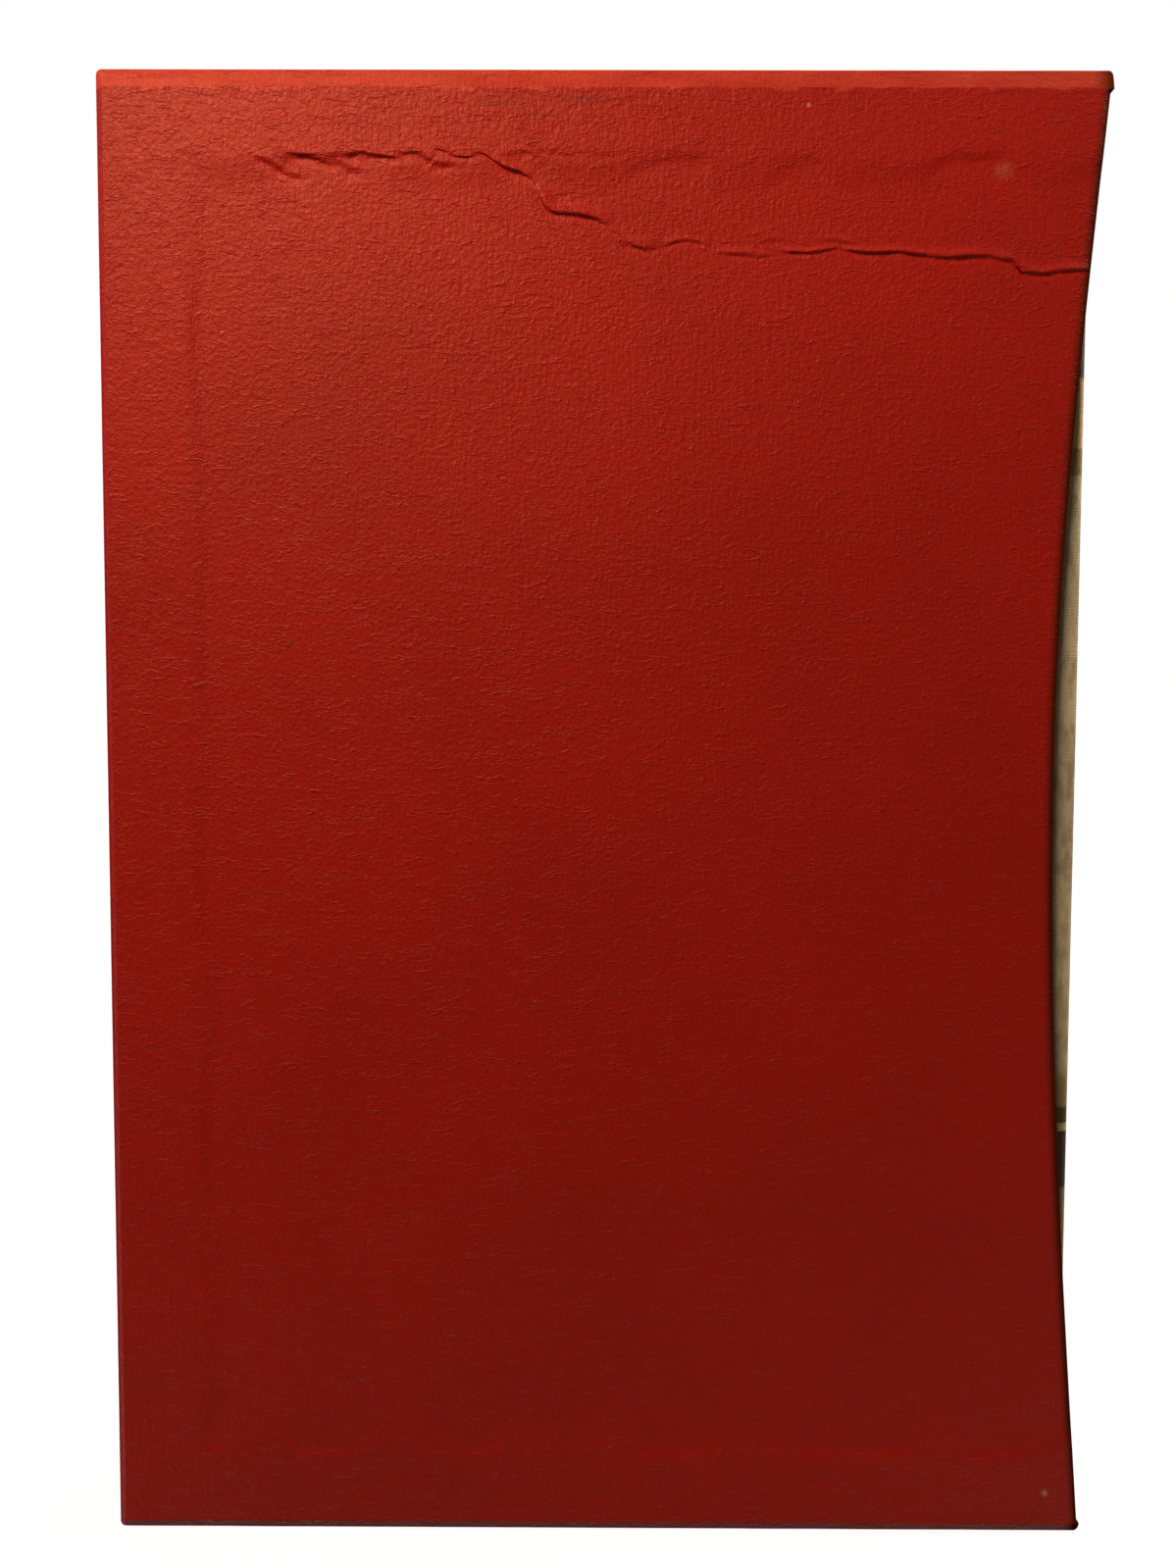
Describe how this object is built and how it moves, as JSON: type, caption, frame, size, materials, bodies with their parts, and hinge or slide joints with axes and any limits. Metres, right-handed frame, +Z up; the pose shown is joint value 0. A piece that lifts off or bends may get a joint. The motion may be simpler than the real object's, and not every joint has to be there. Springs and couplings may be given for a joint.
{
  "type": "slipcased book",
  "caption": "Case-bound book in a paper-covered board slipcase with a shallow curve cut in its open mouth; the book draws out of the case.",
  "frame": {"origin": "middle of the foot of the slipcase, where it stands on its tail", "axes": "+Z up the height of the case, +X out of its open mouth, -Y the front side"},
  "size_m": [0.165, 0.034, 0.244],
  "materials": {
    "case_paper": "satin",
    "case_board": "matte",
    "book_covering": "satin",
    "cover_board": "matte",
    "spine_lining": "matte",
    "leaves": "matte",
    "end_bands": "matte",
    "endpaper": "matte"
  },
  "bodies": {
    "slipcase": {"case_front_board": "case_board", "case_back_board": "case_board", "case_head_board": "case_board", "case_tail_board": "case_board", "case_end_board": "case_board", "case_wrap_strip": "case_paper", "case_front_sheet": "case_paper", "case_back_sheet": "case_paper"},
    "book": {"book_covering": "book_covering", "front_cover_board": "cover_board", "back_cover_board": "cover_board", "spine_card": "cover_board", "spine_lining": "spine_lining", "text_block": "leaves", "head_band": "end_bands", "tail_band": "end_bands", "front_pastedown": "endpaper", "back_pastedown": "endpaper"}
  },
  "joints": [
    {"name": "book_slide", "type": "slide", "parent": "slipcase", "child": "book", "axis": [1, 0, 0], "range_m": [0, 0.17]}
  ]
}
